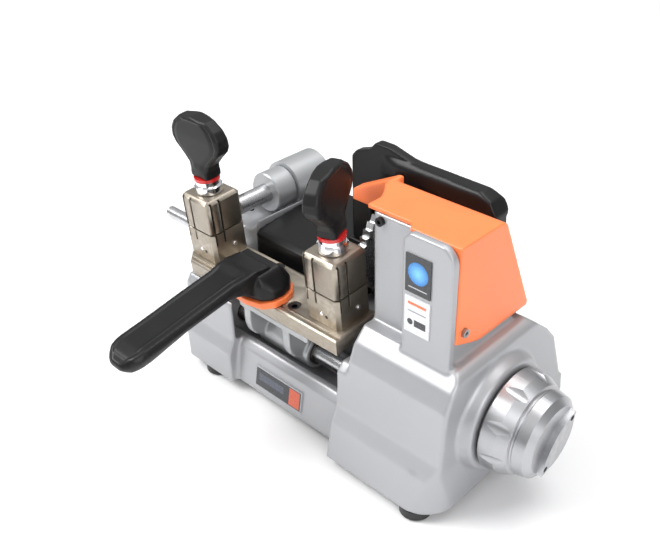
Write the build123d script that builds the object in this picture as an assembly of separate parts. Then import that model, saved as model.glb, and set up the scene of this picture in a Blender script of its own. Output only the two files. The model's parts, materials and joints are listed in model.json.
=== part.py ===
from build123d import *
import math
import os

os.makedirs("parts", exist_ok=True)

# Key duplicating machine. Lengths are in millimetres, X to the operator's right, Y away, Z up.
# The working datum has Z 0 on the bench, Y 0 at the front of the right block and X 0 at the
# cutter's left face. Every piece is moved at the end so that the footprint's centre is X 0, Y 0.

# Bed and tower
FOOT_HEIGHT = 8.0
FOOT_RADIUS = 11.0
FOOT_PLACES = [(-114, 22), (99, 14), (-114, 143), (99, 143)]
BED_LEFT = -138.0
BED_RIGHT = 117.0
BED_REAR = 160.0
DECK_TOP = 84.0
SHELF_TOP = 112.0
BLOCK_LEFT = 27.0
COLUMN_RIGHT = -84.0
BAY_LEFT = -103.0
BAY_FRONT = 31.0
BAY_REAR = 67.0
BAY_FLOOR = 30.0
LIP_TOP = 46.0
TOWER_LEFT = 36.5
LABEL_LEFT = 70.0
HOOD_RIGHT = 107.0
HOOD_TOP = 195.0
HOOD_WALL = 3.0
TOWER_REAR_FOOT = 103.0
TOWER_REAR_TOP = 76.0
HANDLE_FRONT = 103.0
HANDLE_REAR = 113.0

# Running clearances, measured on the radius
RUN = 0.05

# Carriage, drawn upright and then leaned towards the operator about its shaft
SHAFT_Y = 48.0
SHAFT_Z = 50.0
SHAFT_R = 8.0
HUB_LEFT = -76.0
HUB_RIGHT = -22.0
REST_LEAN = 3.9
PLATE_LEFT = -143.0
PLATE_RIGHT = 23.0
PLATE_FRONT = 23.0
PLATE_REAR = 65.0
PLATE_BOTTOM = 87.0
PLATE_TOP = 99.0
LEVER_LEFT = -80.0
LEVER_RIGHT = -47.0
LEVER_ROOT_BOTTOM = 104.0
PLATE_SCREWS = [(-72, 60), (-28, 34), (-28, 58)]
LEVER_SCREWS = [(-56, 30), (-56, 43)]

# Clamps
LEFT_CLAMP_X = -127.0
RIGHT_CLAMP_X = 2.0
JAW = 32.0
JAW_CORNER = 2.6
GROOVES = (-12.5, -4.5)
GROOVE_WIDTH = 1.8
GROOVE_DEPTH = 1.5
LOWER_JAW_TOP = 123.0
UPPER_JAW_BOTTOM = 124.4
UPPER_JAW_TOP = 151.5
STUD_R = 4.0
GUIDE_PIN_OFFSET = 9.5
GUIDE_PIN_R = 1.5
STUD_TOP = 178.0
KNOB_BASE = 164.5
KNOB_TOP = 213.0
KNOB_WIDTH = 52.0
KNOB_THICKNESS = 15.5

# Cutter drive
SPINDLE_Y = 99.0
SPINDLE_Z = 130.0
SPINDLE_R = 5.0
CUTTER_R = 35.0
CUTTER_WIDTH = 6.0
CUTTER_TEETH = 36
TOOTH_DEPTH = 2.5
MOTOR_Y = 118.0
MOTOR_Z = 54.0
MOTOR_R = 21.0
MOTOR_SHAFT_R = 2.5
BELT_X = 56.0
BELT_WIDTH = 7.0
BELT_THICKNESS = 2.0
SPINDLE_PULLEY_R = 16.0
MOTOR_PULLEY_R = 8.0

# Feed screw and side knob
FEED_Y = 72.0
FEED_Z = 61.0
FEED_R = 6.0
FINGER_HOLLOWS = 9
KNOB_FACE_X = 127.0
SIDE_KNOB_R = 36.0
SIDE_KNOB_LENGTH = 33.0
HOLLOW_SLOPE = 14.4
HOLLOW_CUTTER_R = 7.0
BAR_REACH = 23.5
BAR_SCREW_PLACE = 18.0

# Rear panel
SOCKET_R = 3.2
ROCKER_X = 72.0
ROCKER_Y = 157.0
ROCKER_PIN_R = 1.0

# Tracer
TRACER_X = -130.0
TRACER_Z = 126.0
TRACER_R = 7.5


def box(x0, x1, y0, y1, z0, z1):
    centre = Pos((x0 + x1) / 2, (y0 + y1) / 2, (z0 + z1) / 2)
    return centre * Box(x1 - x0, y1 - y0, z1 - z0)


def rod_x(x0, x1, y, z, radius):
    return Pos((x0 + x1) / 2, y, z) * Rot(0, 90, 0) * Cylinder(radius, x1 - x0)


def rod_y(x, y0, y1, z, radius):
    return Pos(x, (y0 + y1) / 2, z) * Rot(90, 0, 0) * Cylinder(radius, y1 - y0)


def rod_z(x, y, z0, z1, radius):
    return Pos(x, y, (z0 + z1) / 2) * Cylinder(radius, z1 - z0)


def prism_x(points, x0, x1):
    face = Face(Wire.make_polygon([Vector(x0, y, z) for y, z in points], close=True))
    return extrude(face, amount=x1 - x0, dir=(1, 0, 0))


def prism_y(points, y0, y1):
    face = Face(Wire.make_polygon([Vector(x, y0, z) for x, z in points], close=True))
    return extrude(face, amount=y1 - y0, dir=(0, 1, 0))


def prism_z(points, z0, z1):
    face = Face(Wire.make_polygon([Vector(x, y, z0) for x, y in points], close=True))
    return extrude(face, amount=z1 - z0, dir=(0, 0, 1))


def joined(pieces):
    total = pieces[0]
    for piece in pieces[1:]:
        total = total + piece
    return total


def group(pieces):
    return Compound([piece.solid() for piece in pieces])


def screw_z(x, y, z_top, length, radius):
    """A socket-head screw whose head sits on z_top and whose shank points down."""
    head = rod_z(x, y, z_top, z_top + radius * 1.6, radius * 1.8)
    socket = rod_z(x, y, z_top + radius * 0.6, z_top + radius * 1.6, radius * 0.9)
    return head + rod_z(x, y, z_top - length, z_top, radius) - socket


# ---------------------------------------------------------------- bed, tower and covers

def bed_outside():
    """Core, left column, right block and its raised shelf, rounded in plan."""
    core = prism_x(
        [
            (16, 8), (16, 13), (21, 40), (26, LIP_TOP), (26, DECK_TOP),
            (139, DECK_TOP), (155, 41), (BED_REAR, 8),
        ],
        BED_LEFT,
        BED_RIGHT,
    )
    column = prism_x(
        [(10, 8), (10, 34), (16, 46), (16, 77), (21, DECK_TOP), (32, DECK_TOP), (32, 8)],
        BED_LEFT,
        COLUMN_RIGHT,
    )
    block = prism_x(
        [(2, 8), (8, 37), (14, 50), (15.5, 78), (21, DECK_TOP), (32, DECK_TOP), (32, 8)],
        BLOCK_LEFT,
        BED_RIGHT,
    )
    shelf = prism_x(
        [
            (15.5, 78), (17, 90), (23, 103), (32, SHELF_TOP),
            (109, SHELF_TOP), (129, 95), (140, 82), (140, 78),
        ],
        TOWER_LEFT,
        BED_RIGHT,
    )
    shelf_edges = shelf.edges().filter_by(Axis.Y).group_by(Axis.Z)[-1].sort_by(Axis.X)
    shelf = fillet(shelf_edges[-1:], 8)
    skirt = prism_y([(116, 8), (121, 8), (119.5, 26), (BED_RIGHT, 42), (116, 42)], 2, BED_REAR)
    plan = box(BED_LEFT, 121, 2, BED_REAR, 8, SHELF_TOP)
    upright = plan.edges().filter_by(Axis.Z)
    front_right = upright.sort_by(Axis.X)[-2:].sort_by(Axis.Y)[0]
    plan = fillet([front_right], 26)
    corners = plan.edges().filter_by(Axis.Z)
    others = [edge for edge in corners if edge.center().X < 0 or edge.center().Y > 100]
    plan = fillet(others, 12)
    return joined([core, column, block, shelf, skirt]) & plan


def tower_outside():
    """Set-back left face, label face in front of the hood's edge, and the spindle housing behind."""
    middle = prism_x(
        [
            (42, 80), (42, 191.7), (TOWER_REAR_TOP, 191.7),
            (TOWER_REAR_FOOT, SHELF_TOP), (TOWER_REAR_FOOT, 80),
        ],
        TOWER_LEFT,
        LABEL_LEFT + 4,
    )
    inner = prism_x(
        [(34, 100), (34, 187), (TOWER_REAR_TOP, 187), (TOWER_REAR_FOOT, SHELF_TOP), (TOWER_REAR_FOOT, 100)],
        LABEL_LEFT,
        HOOD_RIGHT - HOOD_WALL - 0.5,
    )
    label_face = prism_y(
        [(LABEL_LEFT, 100), (LABEL_LEFT, 191), (75, 196), (HOOD_RIGHT, 196), (HOOD_RIGHT, 100)],
        30,
        36,
    )
    corner = label_face.edges().filter_by(Axis.Y).group_by(Axis.Z)[-1].sort_by(Axis.X)[-1:]
    label_face = fillet(corner, 11)
    housing = rod_x(24, LABEL_LEFT, SPINDLE_Y, SPINDLE_Z, 23)
    housing = housing + box(24, LABEL_LEFT, SPINDLE_Y - 23, SPINDLE_Y + 23, 80, SPINDLE_Z)
    belt_foot = box(40, LABEL_LEFT, SPINDLE_Y, SPINDLE_Y + 35, 80, 124)
    handle_pad = box(75, 90, 101, 121, 85, SHELF_TOP)
    return joined([middle, inner, label_face, housing, belt_foot, handle_pad])


def bed_hollows():
    """Rooms inside the casting, open at the bottom, and the bay that the carriage swings in."""
    rear_room = prism_x([(71, 0), (71, 80), (136, 80), (151, 40), (155.5, 0)], BED_LEFT + 5, 112)
    under_bay = box(BED_LEFT + 5, BLOCK_LEFT + 8, 21, 72, 0, BAY_FLOOR - 4)
    cover_recess = box(BED_LEFT + 5, 112, 21, 155, 0, 11)
    column_room = box(BED_LEFT + 5, BAY_LEFT - 12, 22, 72, 0, 79)
    block_room = box(BLOCK_LEFT + 12, 112, 21, 72, 0, 78)
    shelf_room = box(TOWER_LEFT + 5, 100, 36, 100, 70, 106)
    tower_room = box(75, 100, 38, 72, 100, 182)
    middle_room = box(TOWER_LEFT + 5, 76, 47, 74, 100, 178)
    bay = box(BAY_LEFT, BLOCK_LEFT, BAY_FRONT, BAY_REAR, BAY_FLOOR, 200)
    mouth = box(COLUMN_RIGHT, BLOCK_LEFT, -10, BAY_FRONT + 1, LIP_TOP, 200)
    column_side = box(BAY_LEFT, COLUMN_RIGHT + 1, 19, BAY_FRONT + 1, LIP_TOP, 200)
    rooms = [rear_room, under_bay, cover_recess, column_room, block_room]
    rooms = rooms + [shelf_room, tower_room, middle_room]
    return rooms + [bay, mouth, column_side]


def in_blocks(body):
    """The one casting as blocks that meet face to face, so that collision can follow its bay."""
    socket_corner = box(27, 53, 140, 165, 0, 44)
    blocks = [
        box(-160, BAY_LEFT, -5, 165, 0, 125),
        box(BAY_LEFT, COLUMN_RIGHT, -5, BAY_FRONT, 0, DECK_TOP),
        box(COLUMN_RIGHT, BLOCK_LEFT, -5, BAY_FRONT, 0, DECK_TOP),
        box(BAY_LEFT, BLOCK_LEFT, BAY_FRONT, BAY_REAR, 0, DECK_TOP),
        box(BAY_LEFT, BLOCK_LEFT, BAY_REAR, 165, 0, DECK_TOP),
        box(BLOCK_LEFT, 130, -5, 165, 0, DECK_TOP) - socket_corner,
        socket_corner,
        box(20, 130, -5, 165, DECK_TOP, 200),
    ]
    return group([body & block for block in blocks])


def base_casting():
    body = bed_outside() + tower_outside()
    pedestal = prism_y([(BED_LEFT, 60), (-149, 84), (-149, 117), (-111, 117), (-111, 80)], 72, 152)
    boss = Pos(KNOB_FACE_X - 8, FEED_Y, FEED_Z) * Rot(0, 90, 0) * Cone(45, 39, 13)
    body = joined([body, pedestal, boss])
    for hollow in bed_hollows():
        body = body - hollow
    posts = [rod_z(x, y, 11, 38, 7) for x, y in FOOT_PLACES]
    posts.extend(box(x - 3, x + 3, y, BED_REAR - 6, 11, 38) for x, y in FOOT_PLACES if y > BAY_REAR)
    posts.append(rod_x(BLOCK_LEFT, BLOCK_LEFT + 12, SHAFT_Y, SHAFT_Z, 15))
    posts.append(rod_x(106, 114, FEED_Y, FEED_Z, 16))
    body = joined([body] + posts)
    belt_room = rod_x(46, LABEL_LEFT + 1, SPINDLE_Y, SPINDLE_Z, 20)
    belt_room = belt_room + box(46, LABEL_LEFT - 6, SPINDLE_Y - 20, SPINDLE_Y + 20, 76, SPINDLE_Z)
    belt_room = belt_room + box(46, LABEL_LEFT - 6, SPINDLE_Y, SPINDLE_Y + 32, 76, 120)
    drills = [
        belt_room,
        rod_x(23, 50, SPINDLE_Y, SPINDLE_Z, 9),
        rod_x(26, 34, SPINDLE_Y, SPINDLE_Z, 13),
        rod_x(LABEL_LEFT - 1, 80, SPINDLE_Y, SPINDLE_Z, 20),
        rod_x(BAY_LEFT - 13, BAY_LEFT + 1, SHAFT_Y, SHAFT_Z, 10),
        rod_x(BED_LEFT - 1, BED_LEFT + 6, SHAFT_Y, SHAFT_Z, 9),
        rod_x(BLOCK_LEFT - 1, BLOCK_LEFT + 13, SHAFT_Y, SHAFT_Z, 10),
        rod_x(105, KNOB_FACE_X, FEED_Y, FEED_Z, 9),
        rod_y(TRACER_X, 70, 153, TRACER_Z, 19.5),
    ]
    drills.extend(rod_z(x, y, 8, 36, 2 + RUN) for x, y in FOOT_PLACES)
    drills.append(box(60, 84, 150, 162, 20, 36))
    drills.append(rod_y(40, 150, 162, 28, 6))
    for drill in drills:
        body = body - drill
    return in_blocks(body)


def bottom_cover():
    plate = box(BED_LEFT + 6, 111, 23, 154, 8, 11)
    for x, y in FOOT_PLACES:
        plate = plate - rod_z(x, y, 7, 12, 2 + RUN)
    return plate


def hood():
    """Thin cover over the tower's top, right side and rear slope, open at the front."""
    top_outline = [
        (HOOD_RIGHT, 36.3), (HOOD_RIGHT, 122), (21, 122), (21, 70), (24, 67),
        (28.5, 60.5), (31.5, 54), (31.5, 42.4), (66, 42.4), (LABEL_LEFT, 36.3),
    ]
    side = [(36.3, 128), (36.3, HOOD_TOP), (80, HOOD_TOP), (118, SHELF_TOP + 0.3), (75, SHELF_TOP + 0.3)]
    shell = prism_x(side, -13, HOOD_RIGHT)
    long_edges = shell.edges().filter_by(Axis.X).group_by(Axis.Z)[-1].sort_by(Axis.Y)
    shell = fillet(long_edges[-1:], 8)
    top_right = shell.edges().filter_by(Axis.Y).sort_by(Axis.X)[-1:]
    shell = fillet(top_right, 10)
    shell = shell & prism_z(top_outline, 100, 210)
    inside = prism_x(
        [(30, 100), (30, HOOD_TOP - HOOD_WALL), (77.6, HOOD_TOP - HOOD_WALL), (120, 100)],
        -20,
        HOOD_RIGHT - HOOD_WALL,
    )
    inner_edges = inside.edges().filter_by(Axis.Y).group_by(Axis.Z)[-1].sort_by(Axis.X)
    inside = fillet(inner_edges[-1:], 7)
    shell = shell - inside
    left_clear = box(-20, 86, 60, 130, 100, 156) + rod_x(-20, 22.5, SPINDLE_Y, SPINDLE_Z, 50)
    hole = rod_x(HOOD_RIGHT - 5, HOOD_RIGHT + 1, 44, 134, 2 + RUN)
    handle_slot = box(76, 88.5, 101.5, 125, 100, 150)
    return joined([shell - left_clear - hole - handle_slot, hood_nose()])


def hood_nose():
    """Sloping end of the hood over the cutter, behind the circle that the right wing knob sweeps."""
    outside = prism_y([(24, 195), (24, 170), (-12, 170), (-12, 178), (21, 195)], 75, 86)
    inside = prism_y([(27, 191.5), (27, 165), (-9, 165), (-9, 176), (20.8, 191.5)], 78, 83)
    return outside - inside


def hood_screw():
    head = rod_x(HOOD_RIGHT, HOOD_RIGHT + 2, 44, 134, 2.9)
    shank = rod_x(HOOD_RIGHT - HOOD_WALL - 0.5, HOOD_RIGHT, 44, 134, 2)
    return head + shank - rod_x(HOOD_RIGHT + 0.8, HOOD_RIGHT + 3, 44, 134, 1.3)


def tower_screw():
    return rod_y(43, 39.6, 42, 187, 3) - rod_y(43, 39, 40.8, 187, 1.4)


def label_plates():
    upper = box(73, 92, 29.2, 30, 157, 183)
    lower = box(73, 92, 29.2, 30, 128, 154)
    return group([upper, lower])


def front_badge():
    """Thin plate lying on the sloped front panel."""
    slope = 5 / 27
    outline = [
        (16 + 3 * slope, 16), (16 + 20 * slope, 33),
        (14.8 + 20 * slope, 33.2), (14.8 + 3 * slope, 16.2),
    ]
    return prism_x(outline, -62, -12)


def centre_cover():
    """Raised cover between the tracer and the cutter, over the battery and the circuit board."""
    outline = [(68, DECK_TOP), (68, 108), (73, 111.5), (150, 119), (154, 115), (154, 96), (139, DECK_TOP)]
    outside = prism_x(outline, -110.5, -12)
    pad = box(-41, -14, 100.5, 115.5, 108, 118.5)
    room = [(71, 80), (71, 105.5), (75, 108.5), (149, 115.8), (151, 113), (151, 97), (134, 80)]
    inside = prism_x(room, -107, -15.5)
    return outside + pad - inside


def cutter_guard():
    """Curved guard around the rear and top of the cutter, with a flat left cheek and a foot."""
    outer = CUTTER_R + 8
    ring = rod_x(-10, 22, SPINDLE_Y, SPINDLE_Z, outer) - rod_x(-7, 23, SPINDLE_Y, SPINDLE_Z, outer - 3)
    keep = box(-11, 23, SPINDLE_Y - 11, 160, DECK_TOP, 190)
    bore = rod_x(-12, -6, SPINDLE_Y, SPINDLE_Z, 14)
    return (ring & keep) - bore


# ---------------------------------------------------------------- cutter drive

def spindle():
    shaft = rod_x(-7, 76, SPINDLE_Y, SPINDLE_Z, SPINDLE_R)
    collar = rod_x(CUTTER_WIDTH, CUTTER_WIDTH + 5, SPINDLE_Y, SPINDLE_Z, 10)
    return shaft + collar


def cutter():
    points = []
    for tooth in range(CUTTER_TEETH):
        start = 2 * math.pi * tooth / CUTTER_TEETH
        back = 2 * math.pi * (tooth + 0.72) / CUTTER_TEETH
        for angle, radius in ((start, CUTTER_R), (back, CUTTER_R - TOOTH_DEPTH)):
            points.append((SPINDLE_Y + radius * math.cos(angle), SPINDLE_Z + radius * math.sin(angle)))
    disc = prism_x(points, 0, CUTTER_WIDTH)
    recess = rod_x(-1, 1.2, SPINDLE_Y, SPINDLE_Z, 26) - rod_x(-1, 1.2, SPINDLE_Y, SPINDLE_Z, 13)
    return disc - recess - rod_x(-1, 7, SPINDLE_Y, SPINDLE_Z, SPINDLE_R)


def cutter_nut():
    nut = Pos(-2.6, SPINDLE_Y, SPINDLE_Z) * Rot(0, 90, 0) * extrude(RegularPolygon(9.5, 6), 2.6, both=True)
    return nut - rod_x(-8, 2, SPINDLE_Y, SPINDLE_Z, SPINDLE_R)


def pulley(y, z, radius, bore):
    half = BELT_WIDTH / 2
    body = rod_x(BELT_X - half - 0.5, BELT_X + half + 0.5, y, z, radius - 0.05)
    flange = rod_x(BELT_X - half - 1.5, BELT_X - half - 0.5, y, z, radius + 2.5)
    return body + flange - rod_x(BELT_X - 6, BELT_X + 6, y, z, bore)


def drive_belt():
    """Flat belt around both pulleys, as the space between two tangent outlines."""
    inner = belt_outline(0)
    outer = belt_outline(BELT_THICKNESS)
    return prism_x(outer, BELT_X - BELT_WIDTH / 2, BELT_X + BELT_WIDTH / 2) - prism_x(inner, 0, 100)


def belt_outline(offset):
    big = SPINDLE_PULLEY_R + offset
    small = MOTOR_PULLEY_R + offset
    span_y = SPINDLE_Y - MOTOR_Y
    span_z = SPINDLE_Z - MOTOR_Z
    length = math.hypot(span_y, span_z)
    heading = math.atan2(span_z, span_y)
    wrap = math.acos((small - big) / length)
    steps = 24
    points = []
    for step in range(steps + 1):
        angle = heading - wrap + 2 * wrap * step / steps
        points.append((SPINDLE_Y + big * math.cos(angle), SPINDLE_Z + big * math.sin(angle)))
    for step in range(steps + 1):
        angle = heading + wrap + (2 * math.pi - 2 * wrap) * step / steps
        points.append((MOTOR_Y + small * math.cos(angle), MOTOR_Z + small * math.sin(angle)))
    return points


def ring_x(x0, x1, y, z, outer, inner):
    return rod_x(x0, x1, y, z, outer) - rod_x(x0 - 1, x1 + 1, y, z, inner)


def spindle_bearings():
    left = ring_x(26, 34, SPINDLE_Y, SPINDLE_Z, 13, SPINDLE_R + RUN)
    right = ring_x(66, 74, SPINDLE_Y, SPINDLE_Z, 13, SPINDLE_R + RUN)
    return group([left, right])


def bearing_plate():
    plate = ring_x(66, 70, SPINDLE_Y, SPINDLE_Z, 20, 13)
    return plate + ring_x(70, 74, SPINDLE_Y, SPINDLE_Z, 15, 13)


def motor_body():
    can = rod_x(-32, 34, MOTOR_Y, MOTOR_Z, MOTOR_R)
    nose = rod_x(34, 37, MOTOR_Y, MOTOR_Z, 9)
    rear_cap = rod_x(-38, -32, MOTOR_Y, MOTOR_Z, 11)
    bore = rod_x(-40, 40, MOTOR_Y, MOTOR_Z, MOTOR_SHAFT_R + RUN)
    room = rod_x(-29, 31, MOTOR_Y, MOTOR_Z, MOTOR_R - 3)
    return can + nose + rear_cap - bore - room


def motor_bracket():
    plate = box(37, 40, 98, 134, 34, 80)
    flange = box(2, 40, 98, 134, 77, 80)
    return plate + flange - rod_x(30, 44, MOTOR_Y, MOTOR_Z, 4)


def motor_rotor():
    shaft = rod_x(-36, 62, MOTOR_Y, MOTOR_Z, MOTOR_SHAFT_R)
    return shaft + rod_x(-24, 26, MOTOR_Y, MOTOR_Z, 15)


def battery_pack():
    return group([box(-104 + 23 * i, -83 + 23 * i, 78, 130, DECK_TOP, DECK_TOP + 21) for i in range(3)])


def circuit_board():
    board = box(-33, -18, 78, 130, DECK_TOP, DECK_TOP + 1.6)
    return board + box(-30, -20, 90, 104, DECK_TOP + 1, 95) + box(-29, -21, 112, 120, DECK_TOP + 1, 91)


def power_socket():
    body = rod_y(40, 140, 159, 28, 5.9)
    lip = rod_y(40, 158.6, 160.6, 28, 8)
    return body + lip - rod_y(40, 149, 161, 28, SOCKET_R)


def switch_housing():
    body = box(60.2, 83.8, 146, 159, 20.2, 35.8)
    lip = box(58, 86, 158.6, 160.6, 18, 38)
    pivot = rod_z(ROCKER_X, ROCKER_Y, 21, 35, ROCKER_PIN_R + RUN)
    return body + lip - box(63, 81, 149, 161, 23, 33) - pivot


def switch_rocker():
    outline = [(-8.3, -2), (-8.3, 3.4), (0, 1.8), (8.3, 0.6), (8.3, -2), (2, -4), (-2, -4)]
    points = [(ROCKER_X + x, ROCKER_Y + y) for x, y in outline]
    return prism_z(points, 23.3, 32.7) + rod_z(ROCKER_X, ROCKER_Y, 21.2, 34.8, ROCKER_PIN_R)


# ---------------------------------------------------------------- carriage shaft and feed

def carriage_shaft():
    return rod_x(-118.5, 77, SHAFT_Y, SHAFT_Z, SHAFT_R)


def shaft_bushes():
    left = ring_x(BAY_LEFT - 12, BAY_LEFT, SHAFT_Y, SHAFT_Z, 10, SHAFT_R + RUN)
    right = ring_x(BLOCK_LEFT, BLOCK_LEFT + 12, SHAFT_Y, SHAFT_Z, 10, SHAFT_R + RUN)
    screw = ring_x(106, KNOB_FACE_X - 1, FEED_Y, FEED_Z, 9, FEED_R + RUN)
    return group([left, right, screw])


def feed_nut_arm():
    x0, x1 = 66, 76
    arm = rod_x(x0, x1, SHAFT_Y, SHAFT_Z, 13) + rod_x(x0, x1, FEED_Y, FEED_Z, 11)
    arm = arm + prism_x([(52, 38), (76, 51), (68, 71), (43, 62)], x0, x1)
    return arm - rod_x(0, 90, SHAFT_Y, SHAFT_Z, SHAFT_R) - rod_x(0, 90, FEED_Y, FEED_Z, FEED_R + RUN)


def feed_screw():
    screw = rod_x(40, KNOB_FACE_X + 20, FEED_Y, FEED_Z, FEED_R)
    return screw + rod_x(103, 105.8, FEED_Y, FEED_Z, 9)


def side_knob():
    """Stepped knob: a wide finger ring with leaf-shaped hollows and a narrower hub in front."""
    profile = [
        (0, 0), (0, 34.5), (1.5, SIDE_KNOB_R), (12, 35.2), (19, 31.5), (20, 29.5), (21, 29),
        (22, 30), (29, 28.5), (SIDE_KNOB_LENGTH, 24), (SIDE_KNOB_LENGTH, 0),
    ]
    corners = [Vector(KNOB_FACE_X + along, FEED_Y, FEED_Z + radius) for along, radius in profile]
    body = revolve(Face(Wire.make_polygon(corners, close=True)), Axis((0, FEED_Y, FEED_Z), (1, 0, 0)))
    hollow = Rot(0, 90 + HOLLOW_SLOPE, 0) * Cylinder(HOLLOW_CUTTER_R, 60)
    hollow = Pos(KNOB_FACE_X + 12.1, FEED_Y, FEED_Z + 33.8 + HOLLOW_CUTTER_R) * hollow
    for index in range(FINGER_HOLLOWS):
        turn = 360 * (index + 0.5) / FINGER_HOLLOWS
        body = body - hollow.rotate(Axis((0, FEED_Y, FEED_Z), (1, 0, 0)), turn)
    return body - rod_x(KNOB_FACE_X - 1, KNOB_FACE_X + 20, FEED_Y, FEED_Z, FEED_R)


def knob_bar():
    """Lens-shaped grip bar across the hub's face, with two sunk screw heads."""
    x0 = KNOB_FACE_X + SIDE_KNOB_LENGTH
    bar = rod_x(x0, x0 + 4, FEED_Y, FEED_Z + 30, 38) & rod_x(x0, x0 + 4, FEED_Y, FEED_Z - 30, 38)
    bar = bar & rod_x(x0, x0 + 4, FEED_Y, FEED_Z, BAR_REACH)
    for side in (-BAR_SCREW_PLACE, BAR_SCREW_PLACE):
        bar = bar - rod_x(x0 + 1.5, x0 + 5, FEED_Y + side, FEED_Z, 2.0)
    return bar.rotate(Axis((0, FEED_Y, FEED_Z), (1, 0, 0)), 45)


def shaft_cap():
    """Round cap over the shaft's opening in the bed's left wall."""
    cap = rod_x(BED_LEFT - 9, BED_LEFT, SHAFT_Y, SHAFT_Z, 12)
    cap = cap - rod_x(BED_LEFT - 7, BED_LEFT + 1, SHAFT_Y, SHAFT_Z, 9)
    return chamfer(cap.edges().filter_by(GeomType.CIRCLE).sort_by(Axis.X)[:1], 2)


# ---------------------------------------------------------------- carriage

def carriage_casting():
    """Hub on the shaft, two curved ribs and a pad under the clamp plate."""
    hub = rod_x(HUB_LEFT, HUB_RIGHT, SHAFT_Y, SHAFT_Z, 14)
    pad = box(-78.5, -6, PLATE_FRONT, 64, 81.5, PLATE_BOTTOM)
    rib_outline = [
        (23.6, 83), (22.6, 76), (22.4, 68), (23.6, 62), (26.4, 57),
        (32, 53), (44.8, 47.5), (58, 46), (61, 58), (62, 83),
    ]
    left_rib = prism_x(rib_outline, -74.5, -67.5)
    right_rib = prism_x(rib_outline, -33, -25.5)
    web = prism_x([(48, 50), (60, 50), (64, 82), (46, 82)], -55, -34)
    body = joined([hub, pad, left_rib, right_rib, web])
    body = body - rod_x(HUB_LEFT - 5, HUB_RIGHT + 5, SHAFT_Y, SHAFT_Z, 10)
    for x, y in PLATE_SCREWS:
        body = body - rod_z(x, y, 72, 90, 2.5 + RUN)
    for x, y in LEVER_SCREWS:
        body = body - rod_z(x, y, 66, 90, 5)
    return body


def carriage_bushes():
    left = ring_x(-78.5, -64, SHAFT_Y, SHAFT_Z, 10, SHAFT_R + RUN)
    right = ring_x(-36, -21, SHAFT_Y, SHAFT_Z, 10, SHAFT_R + RUN)
    return group([left, right])


def clamp_plate():
    outline = [
        (PLATE_LEFT, 33), (PLATE_LEFT + 10, PLATE_FRONT), (PLATE_RIGHT, PLATE_FRONT),
        (PLATE_RIGHT, PLATE_REAR), (PLATE_LEFT, PLATE_REAR),
    ]
    plate = prism_z(outline, PLATE_BOTTOM, PLATE_TOP)
    plate = chamfer(plate.faces().sort_by(Axis.Z)[-1].edges(), 1.2)
    groove_y = PLATE_FRONT + 3
    groove_z = PLATE_TOP - 0.8
    plate = plate - box(PLATE_LEFT - 1, PLATE_RIGHT + 1, groove_y, groove_y + 2, groove_z, PLATE_TOP + 1)
    for x in (LEFT_CLAMP_X, RIGHT_CLAMP_X):
        plate = plate - rod_z(x, SHAFT_Y, 80, 110, STUD_R)
    for x, y in PLATE_SCREWS:
        plate = plate - rod_z(x, y, 80, 110, 2.5 + RUN) - rod_z(x, y, PLATE_TOP - 5, 110, 4.8)
    for x, y in LEVER_SCREWS:
        plate = plate - rod_z(x, y, 80, 110, 2.5 + RUN)
    return plate


def carriage_screws():
    pieces = [screw_z(x, y, PLATE_TOP - 5, 20, 2.5) for x, y in PLATE_SCREWS]
    for x, y in LEVER_SCREWS:
        head = rod_z(x, y, PLATE_BOTTOM - 4, PLATE_BOTTOM, 4.5)
        pieces.append(head + rod_z(x, y, PLATE_BOTTOM, 109, 2.5))
    return group(pieces)


def grip_lever():
    """Hand lever: an arm that droops to a rounded grip in front, and a low flared root on the plate."""
    profile = [
        (50, LEVER_ROOT_BOTTOM), (50, 108), (42.6, 117.5), (31, 125.3), (19, 127), (5, 125.6),
        (-25, 122.6), (-57.6, 118.8), (-75.7, 117.1), (-84.8, 115.2), (-91, 110), (-91.4, 106),
        (-86, 103.5), (-70.5, 105), (-42, 110.5), (-5, 114), (8, 112), (15, 108),
        (17, LEVER_ROOT_BOTTOM),
    ]
    middle = (LEVER_LEFT + LEVER_RIGHT) / 2
    plan = [
        (LEVER_LEFT, 60), (LEVER_LEFT, -76), (LEVER_LEFT + 4, -86), (middle - 5, -92), (middle + 5, -92),
        (LEVER_RIGHT - 4, -86), (LEVER_RIGHT, -76), (LEVER_RIGHT, 60),
    ]
    arm = prism_x(profile, LEVER_LEFT, LEVER_RIGHT) & prism_z(plan, 90, 140)
    flare = prism_z(
        [
            (-80, 14), (-80, 50), (-52, 50), (-43, 46), (-37.5, 40),
            (-35.5, 33), (-37, 24), (-43, 17), (-55, 14),
        ],
        LEVER_ROOT_BOTTOM,
        114,
    )
    flare = chamfer(flare.faces().sort_by(Axis.Z)[-1].edges(), 3)
    lever = arm + flare
    for x, y in LEVER_SCREWS:
        lever = lever - rod_z(x, y, LEVER_ROOT_BOTTOM - 1, 110, 2.5 + RUN)
    return lever


def lever_collar():
    """Coloured pad between the lever's root and the plate."""
    plan = [
        (-79, 13), (-55, 12.5), (-42, 15.5), (-35.5, 23), (-34, 33),
        (-36, 40.5), (-42, 47), (-52, 51), (-79, 51),
    ]
    collar = prism_z(plan, PLATE_TOP, LEVER_ROOT_BOTTOM)
    for x, y in LEVER_SCREWS:
        collar = collar - rod_z(x, y, PLATE_TOP - 1, 110, 2.5 + RUN)
    return collar


# ---------------------------------------------------------------- clamps

def clamp_stud(x):
    return rod_z(x, SHAFT_Y, PLATE_BOTTOM, STUD_TOP, STUD_R)


def jaw_block(x, z0, z1):
    """A square block whose upright corners are cut off flat."""
    half = JAW / 2
    cut = half - JAW_CORNER
    corners = [(half, cut), (cut, half), (-cut, half), (-half, cut)]
    corners = corners + [(-u, -v) for u, v in corners]
    return prism_z([(x + u, SHAFT_Y + v) for u, v in corners], z0, z1)


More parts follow.
